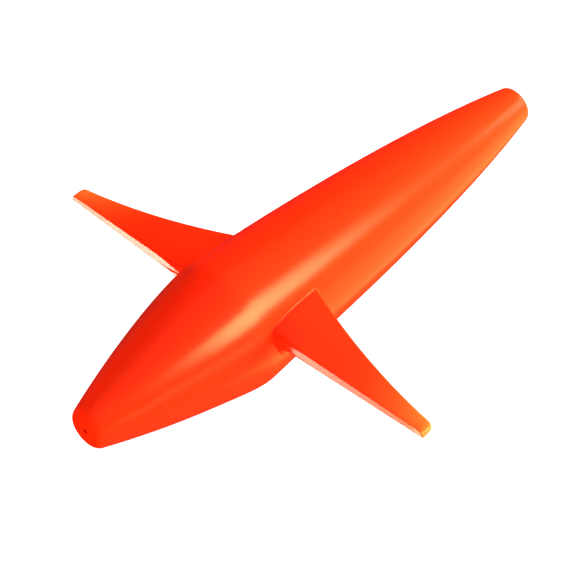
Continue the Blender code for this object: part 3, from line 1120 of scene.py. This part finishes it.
@dataclass
class FloatHalf:
    """One half of the float with its wing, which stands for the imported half."""

    side: Side
    body: FloatBody
    wing: Wing
    tree: HalfShellTree
    finish: bpy.types.Material
    parting_gap: float = 0.03 * MM
    steps_around: int = 96
    patch_margin: float = 6.0 * MM
    ring_offsets: tuple = (0.45 * MM, 1.1 * MM)
    clear_of_ring: float = 0.6 * MM
    sharp_angle: float = math.radians(32.0)
    skin_tolerance: float = 0.02 * MM
    weld_tolerance: float = 1e-5

    @property
    def node(self) -> str:
        """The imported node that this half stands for."""
        return "shell_left" if self.side is Side.LEFT else "shell_right"

    @property
    def name(self) -> str:
        """The piece's name."""
        return "float_half_left" if self.side is Side.LEFT else "float_half_right"

    def world(self, point: Vector) -> Vector:
        """The world place of a point in float coordinates."""
        return Vector((point.x - LENGTH / 2, self.side.value * point.y, point.z + CREST_RADIUS))

    def local(self, point: Vector) -> Vector:
        """The float coordinates of a world place."""
        return Vector((point.x + LENGTH / 2, self.side.value * point.y, point.z - CREST_RADIUS))

    def flat(self, point: Vector) -> Vector:
        """A place on the skin, unrolled: its station, and its turn as a distance."""
        return Vector((point.x, CREST_RADIUS * math.atan2(point.z, point.y)))

    def wrapped(self, flat: Vector) -> Vector:
        """The place on the skin of an unrolled one."""
        return self.body.skin(flat.x, flat.y / CREST_RADIUS)

    def turned_mesh(self) -> bpy.types.Mesh:
        """Runs the geometry tree on the wall's outline.

        Returns:
            The half's wall as a plain mesh.
        """
        outline = bpy.data.meshes.new(self.name + "_outline")
        points = self.body.profile()
        edges = [(i, (i + 1) % len(points)) for i in range(len(points))]
        outline.from_pydata([(p.x, p.y, 0.0) for p in points], edges, [])
        holder = bpy.data.objects.new(self.name + "_turning", outline)
        bpy.context.scene.collection.objects.link(holder)
        modifier = holder.modifiers.new("turn", "NODES")
        modifier.node_group = self.tree.tree
        values = {
            "Steps Around": self.steps_around,
            "Parting Gap": self.parting_gap,
            "Side": self.side.value,
            "Head Setback": LENGTH / 2,
            "Axis Height": CREST_RADIUS,
            "Finish": self.finish,
        }
        for name, value in values.items():
            modifier[self.tree.inputs[name]] = value
        graph = bpy.context.evaluated_depsgraph_get()
        mesh = bpy.data.meshes.new_from_object(holder.evaluated_get(graph))
        bpy.data.objects.remove(holder)
        return mesh

    def build(self) -> bpy.types.Object:
        """Builds the half as one closed mesh, and hands it to the frame.

        Returns:
            The finished piece.
        """
        form = bmesh.new()
        form.from_mesh(self.turned_mesh())
        self.raise_swell(form)
        self.add_wing(form)
        bmesh.ops.recalc_face_normals(form, faces=form.faces)
        self.mark_sharp(form)
        mesh = bpy.data.meshes.new(self.name)
        form.to_mesh(mesh)
        form.free()
        mesh.materials.clear()
        mesh.materials.append(self.finish)
        mesh.polygons.foreach_set("use_smooth", [True] * len(mesh.polygons))
        piece = bpy.data.objects.new(self.name, mesh)
        bpy.context.scene.collection.objects.link(piece)
        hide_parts(self.node)
        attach(piece, "root")
        return piece

    def on_skin(self, place: Vector) -> bool:
        """Whether a place in float coordinates is on the turned skin."""
        reach = math.hypot(place.y, place.z)
        return abs(reach - self.body.outline_radius(place.x)) < self.skin_tolerance

    def mark_sharp(self, form: bmesh.types.BMesh) -> None:
        """Marks the crisp edges, and the line where the wing's root meets the skin."""
        foot = form.verts.layers.int["foot"]
        for edge in form.edges:
            at_foot = all(vert[foot] for vert in edge.verts)
            edge.smooth = not at_foot and edge.calc_face_angle(0.0) < self.sharp_angle

    def raise_swell(self, form: bmesh.types.BMesh) -> None:
        """Moves the skin out by its swell, and marks the skin's points.

        Args:
            form: the half's mesh so far.
        """
        form.verts.layers.int.new("foot")
        layer = form.verts.layers.int.new("skin")
        for vert in form.verts:
            place = self.local(vert.co)
            if self.on_skin(place):
                vert[layer] = 1
                vert.co = self.world(self.body.skin(place.x, math.atan2(place.z, place.y)))

    def add_wing(self, form: bmesh.types.BMesh) -> None:
        """Lofts the wing, and joins its first ring to the skin round it.

        Args:
            form: the half's mesh so far.
        """
        rings = self.wing.rings()
        layers = [[form.verts.new(self.world(p)) for p in ring] for ring in rings]
        count = len(rings[0])
        for near, far in zip(layers, layers[1:]):
            for i in range(count):
                j = (i + 1) % count
                form.faces.new((near[i], near[j], far[j], far[i]))
        form.faces.new(layers[-1])
        mark = form.verts.layers.int["foot"]
        for vert in layers[0]:
            vert[mark] = 1
        self.join_to_skin(form, layers[0])

    def join_to_skin(self, form: bmesh.types.BMesh, foot: list[bmesh.types.BMVert]) -> None:
        """Opens the skin round the wing's foot, and fills the space between them with triangles.

        Args:
            form: the half's mesh so far.
            foot: the wing's ring of points on the skin.
        """
        skin = form.verts.layers.int["skin"]
        ring = [self.flat(self.local(v.co)) for v in foot]
        low = [min(p[i] for p in ring) - self.patch_margin for i in range(2)]
        high = [max(p[i] for p in ring) + self.patch_margin for i in range(2)]

        def in_window(vert: bmesh.types.BMVert) -> bool:
            """Whether a point of the skin is in the window to open."""
            if not vert[skin]:
                return False
            flat = self.flat(self.local(vert.co))
            return low[0] < flat.x < high[0] and low[1] < flat.y < high[1]

        window = [f for f in form.faces if all(in_window(v) for v in f.verts)]
        inside = set(window)
        border = {e for f in window for e in f.edges if not all(g in inside for g in e.link_faces)}
        rim = self.in_order(border)
        spare = {v for f in window for v in f.verts} - set(rim)
        reach = max(self.ring_offsets) + self.clear_of_ring
        ring_sides = self.sides(ring)
        kept = [v for v in spare if self.clear_of(self.flat(self.local(v.co)), ring_sides, reach)]
        offsets = []
        for distance in self.ring_offsets:
            for flat in self.grown(ring, distance):
                offsets.append(form.verts.new(self.world(self.wrapped(flat))))
        verts = rim + foot + kept + offsets
        unrolled = [self.flat(self.local(v.co)) / MM for v in verts]
        outer = self.leftward(range(len(rim)), unrolled)
        inner = self.leftward(range(len(rim), len(rim) + len(foot)), unrolled)
        bmesh.ops.delete(form, geom=window, context="FACES_ONLY")
        bmesh.ops.delete(form, geom=list(spare - set(kept)), context="VERTS")
        fill = delaunay_2d_cdt(unrolled, [], [outer, inner], INSIDE_ONLY, self.weld_tolerance)
        _, _, faces, sources, _, holders = fill
        for face, held_by in zip(faces, holders):
            if held_by == [0]:
                form.faces.new([verts[sources[i][0]] for i in face])
        bare = [e for e in form.edges if not e.link_faces]
        bmesh.ops.delete(form, geom=bare, context="EDGES")

    @staticmethod
    def in_order(loop: set[bmesh.types.BMEdge]) -> list[bmesh.types.BMVert]:
        """Puts the points of one closed loop of edges in order.

        Args:
            loop: the loop's edges.

        Returns:
            The points, in order round the loop.
        """
        edge = next(iter(loop))
        start, vert = edge.verts
        made = [start]
        while vert != start:
            made.append(vert)
            edge = next(e for e in vert.link_edges if e in loop and e != edge)
            vert = edge.other_vert(vert)
        return made

    @staticmethod
    def area(loop: list[Vector]) -> float:
        """The area inside a loop, or less than 0 if it runs clockwise."""
        return sum(p.x * q.y - q.x * p.y for p, q in zip(loop, loop[1:] + loop[:1])) / 2

    def leftward(self, numbers: range, places: list[Vector]) -> list[int]:
        """The numbers of a loop's points, in the order that runs anticlockwise."""
        clockwise = self.area([places[i] for i in numbers]) < 0
        return list(reversed(numbers)) if clockwise else list(numbers)

    @staticmethod
    def sides(ring: list[Vector]) -> list[tuple[Vector, Vector]]:
        """The sides of a closed ring."""
        return list(zip(ring, ring[1:] + ring[:1]))

    @staticmethod
    def encloses(sides: list[tuple[Vector, Vector]], point: Vector) -> bool:
        """Whether a closed ring goes round a point.

        Args:
            sides: the ring's sides.
            point: the point.

        Returns:
            True if the point is inside.
        """
        odd = False
        for near, far in sides:
            if (near.y > point.y) != (far.y > point.y):
                cross = near.x + (point.y - near.y) / (far.y - near.y) * (far.x - near.x)
                odd ^= point.x < cross
        return odd

    def clear_of(self, point: Vector, sides: list[tuple[Vector, Vector]], reach: float) -> bool:
        """Whether a point is outside a ring and well away from it.

        Args:
            point: the point.
            sides: the ring's sides.
            reach: the least distance to keep from every side.

        Returns:
            True if the point is clear of the ring.
        """
        if self.encloses(sides, point):
            return False
        for near, far in sides:
            along = far - near
            share = (point - near).dot(along) / max(along.length_squared, NEGLIGIBLE_LENGTH**2)
            share = min(max(share, 0.0), 1.0)
            if (point - near - share * along).length < reach:
                return False
        return True

    def grown(self, ring: list[Vector], distance: float) -> list[Vector]:
        """Moves a ring outwards, and spreads its points evenly.

        Args:
            ring: the ring's points.
            distance: how far to move it.

        Returns:
            The points of the larger ring.
        """
        turn = 1.0 if self.area(ring) > 0 else -1.0
        made = []
        count = len(ring)
        for i in range(count):
            along = (ring[(i + 2) % count] - ring[i - 2]).normalized()
            made.append(ring[i] + distance * turn * Vector((along.y, -along.x)))
        spaced = []
        for point in made:
            if not spaced or (point - spaced[-1]).length > 0.5 * distance:
                spaced.append(point)
        return spaced


@dataclass(frozen=True)
class SoftBox:
    """A soft box about the float, which lights either the plastic's colour or its gloss."""

    name: str
    azimuth: float
    elevation: float
    distance: float
    size: tuple
    watts: float
    colour: tuple
    in_gloss: bool


@dataclass
class Studio:
    """The pale floor, the soft lights and the camera."""

    azimuth: float = math.radians(-37.95)
    elevation: float = math.radians(45.21)
    roll: float = math.radians(-8.42)
    distance: float = 1.863
    lens: float = 307.0
    sensor: float = 36.0
    far_clip: float = 50.0
    aim: Vector = field(default_factory=lambda: Vector((-13.2, -3.2, 24.9)) * MM)
    surround_seen: float = 1.0
    surround: float = 0.03
    floor_reach: float = 30.0
    floor_drop: float = 0.5 * MM
    floor_tone: tuple = (0.3, 0.3, 0.3, 1.0)
    floor_glow_seen: float = 1.0
    floor_glow: float = 0.1
    floor_grain: Grain = Grain(3.0, 3.0)
    floor_roughness: float = 0.7
    floor_roughness_spread: float = 0.1
    lamps: tuple = (
        SoftBox("tail_key", 75.0, 5.0, 1.4, (0.9, 0.9), 240.0, WHITE, False),
        SoftBox("low_fill", 0.0, -15.0, 1.4, (0.9, 0.9), 68.0, WHITE, False),
        SoftBox("head_fill", -100.0, 5.0, 1.4, (0.9, 0.9), 18.0, WHITE, False),
        SoftBox("sky_fill", 0.0, 88.0, 1.6, (2.4, 2.4), 24.0, WHITE, False),
        SoftBox("under_fill", 0.0, -85.0, 1.4, (1.6, 1.6), 26.0, WHITE, False),
        SoftBox("key_gloss", 21.0, 37.0, 1.3, (0.86, 0.56), 36.0, WHITE, True),
        SoftBox("low_gloss", 52.0, -34.0, 1.3, (1.3, 1.1), 13.0, AMBER, True),
        SoftBox("near_facet_gloss", -130.5, -45.2, 1.3, (0.24, 0.3), 2.4, WARM_WHITE, True),
        SoftBox("far_facet_gloss", -153.6, -45.2, 1.3, (0.24, 0.3), 2.4, WARM_WHITE, True),
    )

    @staticmethod
    def direction(azimuth: float, elevation: float) -> Vector:
        """The direction from the object to something seen at an azimuth and an elevation."""
        level = math.cos(elevation)
        return Vector((math.sin(azimuth) * level, -math.cos(azimuth) * level, math.sin(elevation)))

    def add_camera(self) -> None:
        """Sets the camera to look down at the near side of the head."""
        data = bpy.data.cameras.new("camera")
        data.lens = self.lens
        data.sensor_width = self.sensor
        data.clip_end = self.far_clip
        camera = bpy.data.objects.new("camera", data)
        back = self.direction(self.azimuth, self.elevation)
        turn = back.to_track_quat("Z", "Y").to_matrix() @ Matrix.Rotation(self.roll, 3, "Z")
        camera.matrix_world = Matrix.Translation(self.aim + self.distance * back) @ turn.to_4x4()
        bpy.context.scene.collection.objects.link(camera)
        bpy.context.scene.camera = camera

    def add_light(self, lamp: SoftBox) -> None:
        """Adds a soft box that faces the float.

        Args:
            lamp: the soft box.
        """
        data = bpy.data.lights.new(lamp.name, "AREA")
        data.shape = "RECTANGLE"
        data.size, data.size_y = lamp.size
        data.energy = lamp.watts
        data.color = lamp.colour
        box = bpy.data.objects.new(lamp.name, data)
        back = self.direction(math.radians(lamp.azimuth), math.radians(lamp.elevation))
        box.location = self.aim + lamp.distance * back
        box.rotation_euler = back.to_track_quat("Z", "Y").to_euler()
        box.visible_glossy = lamp.in_gloss
        box.visible_diffuse = not lamp.in_gloss
        bpy.context.scene.collection.objects.link(box)

    def add_lights(self) -> None:
        """Adds the soft boxes and the dim surround."""
        for lamp in self.lamps:
            self.add_light(lamp)
        world = bpy.data.worlds.new("surround")
        world.use_nodes = True
        world.node_tree.nodes.clear()
        sheet = NodeSheet(world.node_tree)
        level = sheet.camera_level(self.surround_seen, self.surround)
        sky = sheet.add("ShaderNodeBackground", {"Color": (*WHITE, 1.0), "Strength": level})
        sheet.add("ShaderNodeOutputWorld", {"Surface": sky.outputs[0]})
        bpy.context.scene.world = world

    def add_floor(self) -> None:
        """Adds a wide pale floor that glows softly, as a light table does."""
        mesh = bpy.data.meshes.new("floor")
        reach, drop = self.floor_reach, self.floor_drop
        turns = ((-1, -1), (1, -1), (1, 1), (-1, 1))
        mesh.from_pydata([(x * reach, y * reach, -drop) for x, y in turns], [], [(0, 1, 2, 3)])
        finish, sheet = new_material("pale_floor")
        grain = sheet.noise(sheet.object_place(), self.floor_grain)
        spread, least = self.floor_roughness_spread, self.floor_roughness
        sheet.close_surface({
            "Base Color": self.floor_tone,
            "Roughness": sheet.maths("MULTIPLY_ADD", grain, spread, least),
            "Emission Color": (*WHITE, 1.0),
            "Emission Strength": sheet.camera_level(self.floor_glow_seen, self.floor_glow),
        })
        mesh.materials.append(finish)
        floor = bpy.data.objects.new("floor", mesh)
        bpy.context.scene.collection.objects.link(floor)
        floor.visible_glossy = False
        floor.visible_shadow = False

    def build(self) -> None:
        """Sets up the whole studio."""
        self.add_camera()
        self.add_lights()
        self.add_floor()
        bpy.context.scene.view_settings.view_transform = "Standard"


@dataclass
class InnerPart:
    """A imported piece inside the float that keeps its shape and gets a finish."""

    node: str
    finish: bpy.types.Material

    def dress(self) -> bpy.types.Object:
        """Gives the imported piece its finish."""
        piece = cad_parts[self.node]
        piece.material_slots[0].material = self.finish
        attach(piece, "root")
        return piece


def report(piece: bpy.types.Object) -> None:
    """Logs a piece's name and its count of faces."""
    log.info("%s: %d faces", piece.name, len(piece.data.polygons))


def main() -> None:
    """Builds the studio and every piece, in order."""
    logging.basicConfig(level=logging.INFO, format="%(name)s %(message)s")
    Studio().build()
    body = FloatBody()
    wing = Wing(body)
    tree = HalfShellTree()
    plastic = MouldedPlastic().make()
    for side in Side:
        report(FloatHalf(side, body, wing, tree, plastic).build())
    report(InnerPart("line_tube", DrawnNylon().make()).dress())
    report(InnerPart("keel_weight", ZincSteel().make()).dress())


if __name__ == "__main__":
    main()
